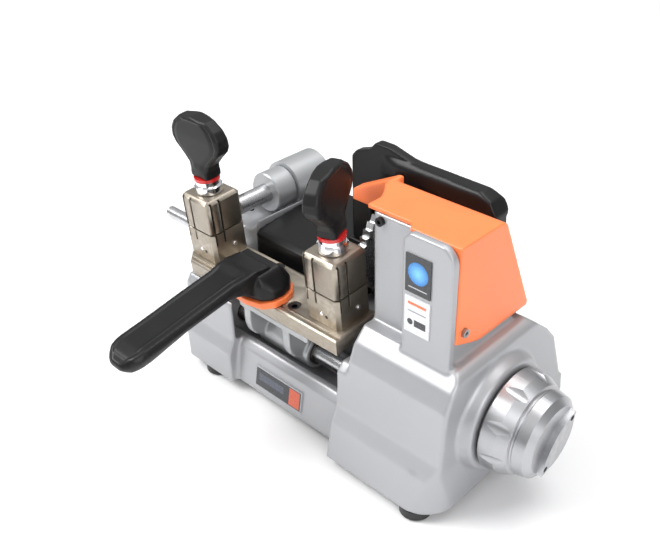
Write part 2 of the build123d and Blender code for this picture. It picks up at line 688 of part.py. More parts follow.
def jaw_grooves(x, z0, z1):
    """Pairs of narrow upright slots, the same pair on each of the four sides."""
    half = JAW / 2
    near = half - GROOVE_DEPTH
    slots = []
    for offset in GROOVES:
        left = offset - GROOVE_WIDTH / 2
        right = offset + GROOVE_WIDTH / 2
        slot = box(x + left, x + right, SHAFT_Y - half - 1, SHAFT_Y - near, z0, z1)
        for quarter in range(4):
            slots.append(slot.rotate(Axis((x, SHAFT_Y, 0), (0, 0, 1)), 90 * quarter))
    return slots


def lower_jaw(x):
    """Lower jaw with two guide pins standing out of its top."""
    jaw = jaw_block(x, PLATE_TOP, LOWER_JAW_TOP)
    for slot in jaw_grooves(x, PLATE_TOP + 15, LOWER_JAW_TOP + 1):
        jaw = jaw - slot
    jaw = jaw - rod_z(x, SHAFT_Y, PLATE_TOP - 1, LOWER_JAW_TOP + 1, STUD_R + RUN)
    jaw = jaw - rod_z(x, SHAFT_Y, LOWER_JAW_TOP - 12, LOWER_JAW_TOP + 1, 6.5)
    for side in (-GUIDE_PIN_OFFSET, GUIDE_PIN_OFFSET):
        jaw = jaw + rod_z(x + side, SHAFT_Y + side, LOWER_JAW_TOP - 6, LOWER_JAW_TOP + 12, GUIDE_PIN_R)
    return jaw


def upper_jaw(x):
    jaw = jaw_block(x, UPPER_JAW_BOTTOM, UPPER_JAW_TOP)
    jaw = chamfer(jaw.faces().sort_by(Axis.Z)[-1].edges(), 2.6)
    for slot in jaw_grooves(x, UPPER_JAW_BOTTOM - 1, UPPER_JAW_TOP + 1):
        jaw = jaw - slot
    jaw = jaw - rod_z(x, SHAFT_Y, UPPER_JAW_BOTTOM - 1, UPPER_JAW_TOP + 1, STUD_R + RUN)
    jaw = jaw - rod_z(x, SHAFT_Y, UPPER_JAW_BOTTOM - 1, UPPER_JAW_BOTTOM + 6, 6.5)
    for side in (-GUIDE_PIN_OFFSET, GUIDE_PIN_OFFSET):
        bore = GUIDE_PIN_R + RUN
        jaw = jaw - rod_z(x + side, SHAFT_Y + side, UPPER_JAW_BOTTOM - 1, UPPER_JAW_BOTTOM + 14, bore)
    return jaw


def lift_spring(x):
    """Compression spring between the jaws, wound around the stud."""
    coil = Helix(pitch=3.0, height=15.0, radius=5.2)
    wire = sweep(Plane(origin=coil @ 0, z_dir=coil % 0) * Circle(0.6), path=coil)
    return Pos(x, SHAFT_Y, LOWER_JAW_TOP - 11.0) * wire


def knob_collar(x):
    collar = rod_z(x, SHAFT_Y, UPPER_JAW_TOP, UPPER_JAW_TOP + 6.5, 10.5)
    collar = chamfer(collar.edges().filter_by(GeomType.CIRCLE), 0.8)
    collar = collar + rod_z(x, SHAFT_Y, UPPER_JAW_TOP + 6, UPPER_JAW_TOP + 10.5, 9.0)
    return collar - rod_z(x, SHAFT_Y, 140, 180, STUD_R + RUN)


def knob_ring(x):
    ring = rod_z(x, SHAFT_Y, UPPER_JAW_TOP + 10.5, KNOB_BASE, 9.8)
    return ring - rod_z(x, SHAFT_Y, 140, 180, STUD_R + RUN)


def wing_knob(x, turn):
    """Waisted wing head, wider at the top, with rounded corners."""
    half = KNOB_WIDTH / 2
    outline = [
        (9, KNOB_BASE), (9.5, KNOB_BASE + 5), (16, KNOB_BASE + 14), (half, KNOB_BASE + 23),
        (half, KNOB_TOP - 16), (half - 3, KNOB_TOP - 8), (half - 11, KNOB_TOP - 2), (0, KNOB_TOP),
    ]
    outline = outline + [(-u, z) for u, z in reversed(outline[:-1])]
    outline = [(x + u, z) for u, z in outline]
    wing = prism_y(outline, SHAFT_Y - KNOB_THICKNESS / 2, SHAFT_Y + KNOB_THICKNESS / 2)
    upright = wing.edges().filter_by(Axis.Y)
    wing = fillet(upright.group_by(Axis.Z)[-1], 5)
    wing = fillet(wing.faces().filter_by(Axis.Y).edges(), 2.5)
    wing = wing - rod_z(x, SHAFT_Y, KNOB_BASE - 1, STUD_TOP + 8, STUD_R + RUN)
    return wing.rotate(Axis((x, SHAFT_Y, 0), (0, 0, 1)), turn)


def turning_bar():
    return rod_x(-187, LEFT_CLAMP_X - JAW / 2, SHAFT_Y, 110.5, 5)


# ---------------------------------------------------------------- tracer

def tracer_housing():
    body = rod_y(TRACER_X, 118, 155, TRACER_Z, 19.5)
    body = chamfer(body.edges().filter_by(GeomType.CIRCLE).sort_by(Axis.Y)[-1:], 2)
    return body - rod_y(TRACER_X, 110, 152, TRACER_Z, TRACER_R + RUN)


def tracer_dial():
    dial = rod_y(TRACER_X, 98, 117.8, TRACER_Z, 16.5)
    dial = chamfer(dial.edges().filter_by(GeomType.CIRCLE), 1)
    return dial - rod_y(TRACER_X, 90, 120, TRACER_Z, TRACER_R + RUN)


def tracer_shaft():
    shaft = rod_y(TRACER_X, 67, 148, TRACER_Z, TRACER_R)
    shaft = shaft - box(TRACER_X - 1.5, TRACER_X + 1.5, 60, 76, TRACER_Z - 10, TRACER_Z + 10)
    return shaft - rod_z(TRACER_X, 82, TRACER_Z - 10, TRACER_Z - 4, 2)


def tracer_tip():
    profile = [(64.5, -5), (66, -7), (76, -7), (76, 6), (66, 6), (64.5, 3)]
    outline = [(y, TRACER_Z + z) for y, z in profile]
    return prism_x(outline, TRACER_X - 1.5, TRACER_X + 1.5)


def tracer_screw():
    return rod_z(TRACER_X, 82, TRACER_Z - 9, TRACER_Z - 4, 2)


# ---------------------------------------------------------------- handle, feet, fasteners

def carry_handle():
    """Arched handle behind the hood, from the centre cover's pad to the shelf's pad."""
    outline = [
        (-39, 118.5), (-39, 185), (-35, 189.5), (-23, 193.5), (-17, 200), (-5, 200), (17, 194.5),
        (72, 193), (81, 189), (86, 180), (87, 165), (87, SHELF_TOP), (77.5, SHELF_TOP), (77.5, 150),
        (75, 168), (69, 174), (-4, 177.5), (-12, 173), (-16, 163), (-16, 118.5),
    ]
    grip = prism_y(outline, HANDLE_FRONT, HANDLE_REAR)
    long_edges = grip.edges().filter_by(GeomType.LINE).filter_by_position(Axis.Z, 186, 210)
    return chamfer(long_edges.filter_by_position(Axis.Y, HANDLE_REAR - 0.1, HANDLE_REAR + 0.1), 2)


def rubber_feet():
    feet = []
    for x, y in FOOT_PLACES:
        foot = rod_z(x, y, 0, FOOT_HEIGHT, FOOT_RADIUS)
        foot = chamfer(foot.edges().filter_by(GeomType.CIRCLE).sort_by(Axis.Z)[:1], 1.5)
        feet.append(foot - rod_z(x, y, -1, 9, 2 + RUN) - rod_z(x, y, -1, 4, 4.2))
    return group(feet)


def cover_screws():
    pieces = []
    for x, y in FOOT_PLACES:
        pieces.append(rod_z(x, y, 1.6, 4, 3.6) + rod_z(x, y, 4, 34, 2))
    pieces.append(hood_screw())
    pieces.append(tower_screw())
    return group(pieces)


def leaned(shape):
    return shape.rotate(Axis((0, SHAFT_Y, SHAFT_Z), (1, 0, 0)), REST_LEAN)


STANDING = {
    "base_casting": base_casting,
    "bottom_cover": bottom_cover,
    "hood": hood,
    "label_plates": label_plates,
    "front_badge": front_badge,
    "centre_cover": centre_cover,
    "cutter_guard": cutter_guard,
    "drive_belt": drive_belt,
    "spindle_bearings": spindle_bearings,
    "bearing_plate": bearing_plate,
    "motor_body": motor_body,
    "motor_bracket": motor_bracket,
    "battery_pack": battery_pack,
    "circuit_board": circuit_board,
    "power_socket": power_socket,
    "switch_housing": switch_housing,
    "switch_rocker": switch_rocker,
    "shaft_bushes": shaft_bushes,
    "carry_handle": carry_handle,
    "rubber_feet": rubber_feet,
    "cover_screws": cover_screws,
    "spindle": spindle,
    "cutter": cutter,
    "cutter_nut": cutter_nut,
    "spindle_pulley": lambda: pulley(SPINDLE_Y, SPINDLE_Z, SPINDLE_PULLEY_R, SPINDLE_R),
    "motor_rotor": motor_rotor,
    "motor_pulley": lambda: pulley(MOTOR_Y, MOTOR_Z, MOTOR_PULLEY_R, MOTOR_SHAFT_R),
    "carriage_shaft": carriage_shaft,
    "feed_nut_arm": feed_nut_arm,
    "feed_screw": feed_screw,
    "side_knob": side_knob,
    "knob_bar": knob_bar,
    "shaft_cap": shaft_cap,
    "tracer_housing": tracer_housing,
    "tracer_dial": tracer_dial,
    "tracer_shaft": tracer_shaft,
    "tracer_tip": tracer_tip,
    "tracer_screw": tracer_screw,
}

CARRIAGE = {
    "carriage_casting": carriage_casting,
    "carriage_bushes": carriage_bushes,
    "clamp_plate": clamp_plate,
    "carriage_screws": carriage_screws,
    "grip_lever": grip_lever,
    "lever_collar": lever_collar,
    "turning_bar": turning_bar,
}

CLAMP = {
    "stud": clamp_stud,
    "lower_jaw": lower_jaw,
    "lift_spring": lift_spring,
    "upper_jaw": upper_jaw,
    "knob_collar": knob_collar,
    "knob_ring": knob_ring,
}

KNOB_TURNS = {"left": 2.0, "right": 108.0}


def build():
    nodes = {name: make() for name, make in STANDING.items()}
    for name, make in CARRIAGE.items():
        nodes[name] = leaned(make())
    for side, x in (("left", LEFT_CLAMP_X), ("right", RIGHT_CLAMP_X)):
        for name, make in CLAMP.items():
            nodes[f"{side}_{name}"] = leaned(make(x))
        nodes[f"{side}_wing_knob"] = leaned(wing_knob(x, KNOB_TURNS[side]))
    return nodes


def main():
    nodes = build()
    extents = [shape.bounding_box() for shape in nodes.values()]
    middle_x = (min(extent.min.X for extent in extents) + max(extent.max.X for extent in extents)) / 2
    middle_y = (min(extent.min.Y for extent in extents) + max(extent.max.Y for extent in extents)) / 2
    centre = Pos(-middle_x, -middle_y, 0)
    print("centre of the footprint", middle_x, middle_y)
    for name, shape in nodes.items():
        export_step(centre * shape, f"parts/{name}.step")


main()
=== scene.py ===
import json
import math

import bmesh
import bpy
import numpy as np
from mathutils import Matrix, Vector


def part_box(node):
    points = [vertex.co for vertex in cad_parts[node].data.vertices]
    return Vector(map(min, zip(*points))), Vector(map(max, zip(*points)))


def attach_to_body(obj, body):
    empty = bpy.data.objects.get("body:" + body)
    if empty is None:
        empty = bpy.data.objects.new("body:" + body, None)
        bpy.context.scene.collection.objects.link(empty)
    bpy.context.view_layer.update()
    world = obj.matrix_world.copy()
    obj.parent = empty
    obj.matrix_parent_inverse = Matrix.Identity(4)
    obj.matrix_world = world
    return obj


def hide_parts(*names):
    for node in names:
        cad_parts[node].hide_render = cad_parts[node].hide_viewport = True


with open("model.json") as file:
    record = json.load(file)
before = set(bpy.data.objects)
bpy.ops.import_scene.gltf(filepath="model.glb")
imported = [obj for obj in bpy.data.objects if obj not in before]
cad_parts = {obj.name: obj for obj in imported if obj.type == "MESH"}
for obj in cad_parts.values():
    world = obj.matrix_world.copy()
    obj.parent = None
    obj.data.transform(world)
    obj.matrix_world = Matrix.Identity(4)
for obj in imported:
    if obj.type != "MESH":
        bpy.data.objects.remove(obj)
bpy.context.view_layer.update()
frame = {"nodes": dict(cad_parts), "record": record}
nodes = frame["nodes"]

# Working datum of the lengths below, in millimetres: the cutter's left face is X 0, the casting's
# rear is Y 160 and the bench is Z 0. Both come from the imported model.
MM = 0.001
DATUM = Vector((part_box("cutter")[0].x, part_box("base_casting")[1].y - 160 * MM, 0))
LEAN = math.radians(3.9)
SHAFT_Y, SHAFT_Z = 48.0, 50.0
CLAMP_X = {"left": -127.0, "right": 2.0}
KNOB_TURN = {"left": math.radians(2), "right": math.radians(108)}
JAW_HALF = 16.0


def at(x, y, z):
    """A point of the working datum, in millimetres, as row-frame metres."""
    return DATUM + Vector((x, y, z)) * MM


def leaned(x, y, z):
    """A point of the upright carriage, turned about its shaft to where the carriage rests."""
    dy, dz = y - SHAFT_Y, z - SHAFT_Z
    c, s = math.cos(LEAN), math.sin(LEAN)
    return at(x, SHAFT_Y + dy * c - dz * s, SHAFT_Z + dy * s + dz * c)


# ------------------------------------------------------------------ camera

CAMERA_YAW = math.radians(45.415)
CAMERA_PITCH = math.radians(32.95)
CAMERA_ROLL = math.radians(-1.965)
CAMERA_AT = (337, -293, 435)
FOCAL_PIXELS, IMAGE_WIDTH = 840.49, 660
SENSOR_WIDTH = 36


def make_camera():
    """Pinhole camera at the photograph's viewing angle."""
    forward = Vector((
        -math.sin(CAMERA_YAW) * math.cos(CAMERA_PITCH),
        math.cos(CAMERA_YAW) * math.cos(CAMERA_PITCH),
        -math.sin(CAMERA_PITCH),
    ))
    level = Vector((math.cos(CAMERA_YAW), math.sin(CAMERA_YAW), 0))
    upright = level.cross(forward)
    right = math.cos(CAMERA_ROLL) * level + math.sin(CAMERA_ROLL) * upright
    up = -math.sin(CAMERA_ROLL) * level + math.cos(CAMERA_ROLL) * upright
    data = bpy.data.cameras.new("camera")
    data.sensor_width = SENSOR_WIDTH
    data.lens = FOCAL_PIXELS / IMAGE_WIDTH * SENSOR_WIDTH
    data.clip_start, data.clip_end = 0.01, 50
    camera = bpy.data.objects.new("camera", data)
    bpy.context.scene.collection.objects.link(camera)
    axes = Matrix((right, up, -forward)).transposed().to_4x4()
    camera.matrix_world = Matrix.Translation(at(*CAMERA_AT)) @ axes
    bpy.context.scene.camera = camera


make_camera()


# ------------------------------------------------------------------ materials

class Nodes:
    """Short helper around one material's node tree."""

    def __init__(self, name):
        self.mat = bpy.data.materials.new(name)
        self.mat.use_nodes = True
        self.tree = self.mat.node_tree
        self.tree.nodes.clear()
        self.out = self.add("ShaderNodeOutputMaterial")
        self.bsdf = self.add("ShaderNodeBsdfPrincipled")
        self.link(self.bsdf.outputs[0], self.out.inputs[0])
        self.coord = self.add("ShaderNodeTexCoord").outputs["Object"]

    def add(self, kind, **inputs):
        node = self.tree.nodes.new(kind)
        for key, value in inputs.items():
            node.inputs[key.replace("_", " ")].default_value = value
        return node

    def link(self, a, b):
        self.tree.links.new(a, b)

    def stretched(self, scale):
        mapping = self.add("ShaderNodeMapping")
        mapping.inputs["Scale"].default_value = scale
        self.link(self.coord, mapping.inputs["Vector"])
        return mapping.outputs[0]

    def noise(self, scale, detail=3.0, rough=0.5, stretch=None):
        node = self.add("ShaderNodeTexNoise", Scale=scale, Detail=detail, Roughness=rough)
        self.link(self.stretched(stretch) if stretch else self.coord, node.inputs["Vector"])
        return node.outputs["Fac"]

    def ramp(self, fac, low, high, a=0.0, b=1.0):
        """fac mapped from a..b to the two values or colours low..high."""
        node = self.add("ShaderNodeValToRGB")
        node.color_ramp.elements[0].position = a
        node.color_ramp.elements[1].position = b
        for element, value in zip(node.color_ramp.elements, (low, high)):
            colour = value if hasattr(value, "__len__") else (value,) * 3
            element.color = (*colour, 1)
        self.link(fac, node.inputs[0])
        return node.outputs[0]

    def mix(self, fac, a, b, blend="MIX"):
        node = self.add("ShaderNodeMix")
        node.data_type = "RGBA"
        node.blend_type = blend
        for socket, value in ((node.inputs[0], fac), (node.inputs[6], a), (node.inputs[7], b)):
            if hasattr(value, "is_output"):
                self.link(value, socket)
            elif hasattr(value, "__len__"):
                socket.default_value = (*value, 1)
            else:
                socket.default_value = value
        return node.outputs[2]

    def math(self, op, a, b=0.0):
        node = self.add("ShaderNodeMath")
        node.operation = op
        for socket, value in ((node.inputs[0], a), (node.inputs[1], b)):
            if hasattr(value, "is_output"):
                self.link(value, socket)
            else:
                socket.default_value = value
        return node.outputs[0]

    def bump(self, height, distance, strength, after=None):
        node = self.add("ShaderNodeBump", Strength=strength, Distance=distance)
        self.link(height, node.inputs["Height"])
        if after is not None:
            self.link(after, node.inputs["Normal"])
        return node.outputs[0]

    def set(self, **inputs):
        for key, value in inputs.items():
            socket = self.bsdf.inputs[key.replace("_", " ")]
            if hasattr(value, "is_output"):
                self.link(value, socket)
            elif hasattr(value, "__len__") and len(value) == 3:
                socket.default_value = (*value, 1)
            else:
                socket.default_value = value
        return self.mat

    def edge_rub_and_highlight(self, amount):
        """Lighter where the surface is convex, broken up by noise: edges partly rubbed bright and partly a
        painted highlight.
        """
        convex = self.add("ShaderNodeNewGeometry").outputs["Pointiness"]
        edge = self.ramp(convex, 0.0, amount, 0.52, 0.62)
        return self.math("MULTIPLY", edge, self.ramp(self.noise(260, 4), 0.0, 1.0, 0.42, 0.62))


def brighter(colour, times, plus=0.0):
    return tuple(min(1, c * times + plus) for c in colour)


def painted(name, colour, metallic, rough, flake=0.5):
    """Sprayed metallic paint: fine flake, slight orange peel, dulled patches."""
    n = Nodes(name)
    cloud = n.noise(22, 4)
    speck = n.noise(5200, 2)
    base = n.mix(n.ramp(cloud, 0.0, 0.08, 0.35, 0.7), colour, brighter(colour, 0.82))
    base = n.mix(n.ramp(speck, 0.0, 0.16 * flake, 0.45, 0.7), base, brighter(colour, 1.5))
    peel = n.bump(n.noise(700, 2), 0.00004, 0.35)
    fine = n.bump(speck, 0.000012, 0.5, peel)
    gloss = n.ramp(cloud, rough - 0.05, rough + 0.07)
    return n.set(Base_Color=base, Metallic=metallic, Roughness=gloss, Normal=fine)


def moulded(name, colour, rough, grain, grain_scale=2600, sheen=0.0, coat=0.0, specular=0.5):
    """Moulded plastic or rubber with a fine spark-eroded grain and lighter convex edges, partly rubbed
    bright and partly a painted highlight.
    """
    n = Nodes(name)
    cloud = n.noise(35, 4)
    cell = n.add("ShaderNodeTexVoronoi", Scale=grain_scale)
    n.link(n.coord, cell.inputs["Vector"])
    base = n.mix(n.ramp(cloud, 0.0, 0.5, 0.35, 0.75), colour, brighter(colour, 1.18, 0.002))
    # Convex edges lightened: partly rubbed plastic, partly a painted highlight.
    base = n.mix(n.edge_rub_and_highlight(0.25), base, brighter(colour, 1.5, 0.02))
    normal = n.bump(cell.outputs["Distance"], 0.00003, grain)
    normal = n.bump(n.noise(400, 2), 0.00005, 0.25, normal)
    n.set(Base_Color=base, Roughness=n.ramp(cloud, rough - 0.06, rough + 0.08), Normal=normal)
    n.set(Coat_Weight=coat, Coat_Roughness=0.2)
    return n.set(Sheen_Weight=sheen, Specular_IOR_Level=specular)


def machined(name, colour, rough, stretch, lines, tint, rub_and_highlight=0.3):
    """Bare or plated metal with fine tool lines along one direction."""
    n = Nodes(name)
    streak = n.noise(900, 3, 0.6, stretch)
    cloud = n.noise(40, 4)
    base = n.mix(n.ramp(streak, 0.0, tint, 0.3, 0.7), colour, brighter(colour, 0.6))
    base = n.mix(n.ramp(cloud, 0.0, tint, 0.4, 0.7), base, brighter(colour, 0.75))
    # Convex edges lightened: partly rubbed metal, partly a painted highlight along the edges.
    base = n.mix(n.edge_rub_and_highlight(rub_and_highlight), base, brighter(colour, 1.25, 0.08))
    gloss = n.ramp(streak, rough - 0.06, rough + 0.1, 0.3, 0.75)
    relief = n.bump(streak, 0.00003, 0.25 * lines)
    return n.set(Base_Color=base, Metallic=1.0, Roughness=gloss, Normal=relief)


M = {
    "silver": painted("silver_paint", (0.40, 0.405, 0.42), 0.5, 0.38),
    "orange": moulded("orange_shell", (0.95, 0.20, 0.055), 0.38, 0.12, 1800, coat=0.15),
    "black": moulded("black_plastic", (0.005, 0.005, 0.0055), 0.36, 0.35, specular=0.3),
    "sheet": painted("dark_sheet", (0.05, 0.05, 0.055), 0.2, 0.5),
    "rubber": moulded("black_rubber", (0.012, 0.012, 0.013), 0.6, 0.5, 1800, sheen=0.05),
    "knob": moulded("knob_rubber", (0.006, 0.006, 0.0065), 0.42, 0.4, 2200, specular=0.3),
    "red": moulded("red_ring", (0.55, 0.02, 0.02), 0.25, 0.05, 2000, coat=0.5),
    "chrome": machined("chrome", (0.86, 0.86, 0.88), 0.09, (1, 1, 14), 0.4, 0.05),
    "nickel": machined("jaw_nickel", (0.37, 0.33, 0.275), 0.4, (3, 3, 0.4), 0.6, 0.07, rub_and_highlight=0.6),
    "plate": machined("plate_nickel", (0.37, 0.33, 0.275), 0.4, (0.4, 3, 3), 0.6, 0.07, rub_and_highlight=0.6),
    "grey": painted("grey_casting", (0.42, 0.43, 0.44), 0.6, 0.4, 0.4),
    "aluminium": machined("satin_aluminium", (0.45, 0.455, 0.47), 0.34, (12, 1, 1), 0.8, 0.08),
    "steel": machined("ground_steel", (0.56, 0.56, 0.57), 0.28, (12, 1, 1), 1.0, 0.15),
    "spring": machined("spring_steel", (0.45, 0.45, 0.46), 0.25, (1, 1, 8), 0.6, 0.1),
    # Dark blackened steel for the real screws, also used as painted shade on groove floors and jaw socket
    # discs.
    "oxide_and_shade": machined("black_oxide_and_shade", (0.05, 0.05, 0.052), 0.35, (1, 1, 4), 0.7, 0.1),
    "bronze": machined("sintered_bush", (0.16, 0.15, 0.14), 0.4, (10, 1, 1), 0.8, 0.15),
    "board": moulded("circuit_board", (0.01, 0.10, 0.03), 0.35, 0.2, 900, coat=0.3),
}


PRINT_EDGE = 0.1 * MM


def between(n, axis, low, high):
    """1 where the object coordinate along axis lies between low and high, with a soft printed edge."""
    up = n.math("MULTIPLY", n.math("SUBTRACT", axis, low), 1 / PRINT_EDGE)
    down = n.math("MULTIPLY", n.math("SUBTRACT", high, axis), 1 / PRINT_EDGE)
    value = n.math("MINIMUM", up, down)
    return n.math("MINIMUM", n.math("MAXIMUM", value, 0.0), 1.0)


def rectangle(n, x, z, low, high):
    return n.math("MULTIPLY", between(n, x, low.x, high.x), between(n, z, low.z, high.z))


def film(n, colour, grain):
    """Printed film under a thin clear layer."""
    gloss = n.ramp(grain, 0.24, 0.34, 0.3, 0.7)
    relief = n.bump(grain, 0.00001, 0.3)
    return n.set(Base_Color=colour, Roughness=gloss, Normal=relief, Coat_Weight=0.3)


def reach_from(n, x, z, middle):
    """Distance in the X-Z plane from the point middle."""
    dx, dz = n.math("SUBTRACT", x, middle.x), n.math("SUBTRACT", z, middle.z)
    return n.math("SQRT", n.math("ADD", n.math("MULTIPLY", dx, dx), n.math("MULTIPLY", dz, dz)))


def printed_plates():
    """Two plain plates on the tower: a dark one with a blue disc and a pale one with plain bars."""
    n = Nodes("label_film")
    split = n.add("ShaderNodeSeparateXYZ")
    n.link(n.coord, split.inputs[0])
    x, z = split.outputs[0], split.outputs[2]
    grain = n.noise(1800, 3)
    dark = n.ramp(grain, (0.018, 0.019, 0.022), (0.03, 0.032, 0.036), 0.3, 0.7)
    pale = n.ramp(grain, (0.62, 0.63, 0.65), (0.74, 0.75, 0.77), 0.3, 0.7)
    colour = n.mix(between(n, z, at(0, 0, 155.5).z, at(0, 0, 190).z), pale, dark)
    reach = reach_from(n, x, z, at(82.5, 0, 171.5))
    blue = n.ramp(n.math("DIVIDE", reach, 8 * MM), (0.18, 0.55, 0.9), (0.01, 0.16, 0.5), 0.1, 0.95)
    colour = n.mix(between(n, reach, -1.0, 7.6 * MM), colour, blue)
    bars = [
        ((75.5, 160.6), (89.5, 161.4), (0.5, 0.52, 0.55)),
        ((75.5, 148.5), (89.5, 150.5), (0.75, 0.16, 0.05)),
        ((75.5, 143.5), (89.5, 144.5), (0.25, 0.26, 0.28)),
        ((80.5, 133.5), (89.5, 138.5), (0.03, 0.03, 0.035)),
    ]
    for low, high, tone in bars:
        mask = rectangle(n, x, z, at(low[0], 0, low[1]), at(high[0], 0, high[1]))
        colour = n.mix(mask, colour, tone)
    reach = reach_from(n, x, z, at(77.5, 0, 136))
    colour = n.mix(between(n, reach, -1.0, 2.2 * MM), colour, (0.03, 0.03, 0.035))
    return film(n, colour, grain)


def badge_film():
    """A dark strip with a pale border and a warm red end."""
    n = Nodes("badge_film")
    split = n.add("ShaderNodeSeparateXYZ")
    n.link(n.coord, split.inputs[0])
    x, z = split.outputs[0], split.outputs[2]
    grain = n.noise(1800, 3)
    dark = n.ramp(grain, (0.018, 0.019, 0.024), (0.032, 0.034, 0.04), 0.3, 0.7)
    border = n.ramp(grain, (0.3, 0.31, 0.33), (0.42, 0.43, 0.45), 0.3, 0.7)
    inner = rectangle(n, x, z, at(-61.2, 0, 16.9), at(-12.8, 0, 32.3))
    colour = n.mix(inner, border, dark)
    red = rectangle(n, x, z, at(-25, 0, 17.6), at(-14, 0, 31.6))
    colour = n.mix(red, colour, (0.62, 0.1, 0.04))
    window = rectangle(n, x, z, at(-58, 0, 22.5), at(-31, 0, 28.5))
    colour = n.mix(window, colour, (0.07, 0.08, 0.11))
    return film(n, colour, grain)


def screw_finish():
    """Black screws in the tower and the feet, a bare steel one in the hood's side."""
    n = Nodes("screw_finish")
    split = n.add("ShaderNodeSeparateXYZ")
    n.link(n.coord, split.inputs[0])
    streak = n.noise(900, 3, 0.6, (1, 1, 4))
    black = n.ramp(streak, (0.03, 0.03, 0.032), (0.05, 0.05, 0.052), 0.3, 0.7)
    bare = n.ramp(streak, (0.3, 0.3, 0.31), (0.45, 0.45, 0.46), 0.3, 0.7)
    on_hood = between(n, split.outputs[0], at(103, 0, 0).x, at(140, 0, 0).x)
    high = between(n, split.outputs[2], at(0, 0, 100).z, at(0, 0, 210).z)
    colour = n.mix(n.math("MULTIPLY", on_hood, high), black, bare)
    gloss = n.ramp(streak, 0.29, 0.42, 0.3, 0.75)
    return n.set(Base_Color=colour, Metallic=1.0, Roughness=gloss, Normal=n.bump(streak, 0.00003, 0.2))


M["label"] = printed_plates()
M["screws"] = screw_finish()
M["badge"] = badge_film()

CAD_LOOKS = {
    "silver": ["base_casting", "bearing_plate", "shaft_cap"],
    "orange": ["hood", "lever_collar"],
    "black": [
        "centre_cover", "cutter_guard", "carry_handle", "grip_lever", "switch_housing", "power_socket",
        "battery_pack",
    ],
    "sheet": ["bottom_cover"],
    "label": ["label_plates"],
    "badge": ["front_badge"],
    "rubber": ["drive_belt", "rubber_feet", "switch_rocker"],
    "knob": ["left_wing_knob", "right_wing_knob"],
    "red": ["left_knob_ring", "right_knob_ring"],
    "chrome": ["left_knob_collar", "right_knob_collar"],
    "nickel": ["left_lower_jaw", "right_lower_jaw", "left_upper_jaw", "right_upper_jaw"],
    "plate": ["clamp_plate"],
    "grey": ["carriage_casting", "tracer_housing", "tracer_dial", "feed_nut_arm"],
    "aluminium": ["side_knob", "knob_bar", "spindle_pulley", "motor_pulley"],
    "steel": [
        "carriage_shaft", "feed_screw", "spindle", "cutter", "cutter_nut", "tracer_shaft", "tracer_tip",
        "turning_bar", "left_stud", "right_stud", "motor_rotor", "spindle_bearings", "motor_body",
        "motor_bracket",
    ],
    "spring": ["left_lift_spring", "right_lift_spring"],
    "oxide_and_shade": ["carriage_screws", "tracer_screw"],
    "screws": ["cover_screws"],
    "bronze": ["shaft_bushes", "carriage_bushes"],
    "board": ["circuit_board"],
}


def dress(obj, material):
    obj.data.materials.clear()
    obj.data.materials.append(M[material])


for look, names in CAD_LOOKS.items():
    for name in names:
        dress(nodes[name], look)


# ------------------------------------------------------------------ shapes

bodies = frame["record"]["behaviour"]["bodies"]
BODY_OF = {node: body for body, members in bodies.items() for node in members}
LOOK_OF = {name: look for look, names in CAD_LOOKS.items() for name in names}


def attach(obj, body, look):
    dress(obj, look)
    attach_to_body(obj, body)
    return obj


def link_mesh(name, mesh):
    obj = bpy.data.objects.new(name, mesh)
    bpy.context.scene.collection.objects.link(obj)
    return obj


def evaluated(name, source, modifiers):
    """A new object holding the source's mesh with these modifiers applied."""
    worker = link_mesh(name + "_work", source.data.copy())
    for kind, values in modifiers:
        modifier = worker.modifiers.new(kind, kind)
        for key, value in values.items():
            setattr(modifier, key, value)
    depsgraph = bpy.context.evaluated_depsgraph_get()
    mesh = bpy.data.meshes.new_from_object(worker.evaluated_get(depsgraph))
    mesh.name = name
    bpy.data.objects.remove(worker)
    return link_mesh(name, mesh)


def reshaped(obj, shape):
    """Moves the object's vertices to where shape puts them."""
    co = np.empty(len(obj.data.vertices) * 3)
    normal = np.empty(len(obj.data.vertices) * 3)
    obj.data.vertices.foreach_get("co", co)
    obj.data.vertices.foreach_get("normal", normal)
    co = shape(co.reshape(-1, 3), normal.reshape(-1, 3))
    obj.data.vertices.foreach_set("co", co.ravel())
    obj.data.update()


def softened(name, voxel, rounds, keep, shape=None):
    """A CAD node remade as one even skin with its edges rounded, shown in the node's place.

    voxel is the skin's grid in millimetres, rounds the smoothing passes, keep the share of faces kept.
    """
    steps = [
        ("WELD", {"merge_threshold": 0.00001}),
        ("REMESH", {"mode": "VOXEL", "voxel_size": voxel * MM}),
        ("SMOOTH", {"factor": 0.5, "iterations": rounds}),
    ]
    dense = evaluated(name + "_dense", nodes[name], steps)
    if shape is not None:
        reshaped(dense, shape)
    skin = evaluated(name + "_skin", dense, [("DECIMATE", {"ratio": keep})])
    bpy.data.objects.remove(dense)
    skin.data.shade_smooth()
    attach(skin, BODY_OF[name], LOOK_OF[name])
    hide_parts(name)


def step_up(value, low, high):
    """0 below low, 1 above high, with a smooth ramp between."""
    t = np.clip((value - low) / (high - low), 0, 1)
    return t * t * (3 - 2 * t)


def upright(co):
    """Row-frame points as upright-carriage points, in millimetres of the working datum."""
    p = (co - np.array(DATUM)) / MM
    dy, dz = p[:, 1] - SHAFT_Y, p[:, 2] - SHAFT_Z
    c, s = math.cos(LEAN), math.sin(LEAN)
    return np.stack([p[:, 0], SHAFT_Y + dy * c + dz * s, SHAFT_Z - dy * s + dz * c], axis=1)


# The grip lever's half-width and its top and underside along Y, as the CAD has them.
LEVER_MIDDLE, LEVER_HALF = -63.5, 16.5
LEVER_TOP_Y = [-92, -91, -84.8, -75.7, -57.6, -25, 5, 19]
LEVER_TOP_Z = [108, 110, 115.2, 117.1, 118.8, 122.6, 125.6, 127]
LEVER_BOTTOM_Y = [-91.4, -86, -70.5, -42, -5, 8, 15, 17]
LEVER_BOTTOM_Z = [106, 103.5, 105, 110.5, 114, 112, 108, 104]
LEVER_TIP_START, LEVER_TIP_LENGTH = -76, 16.2


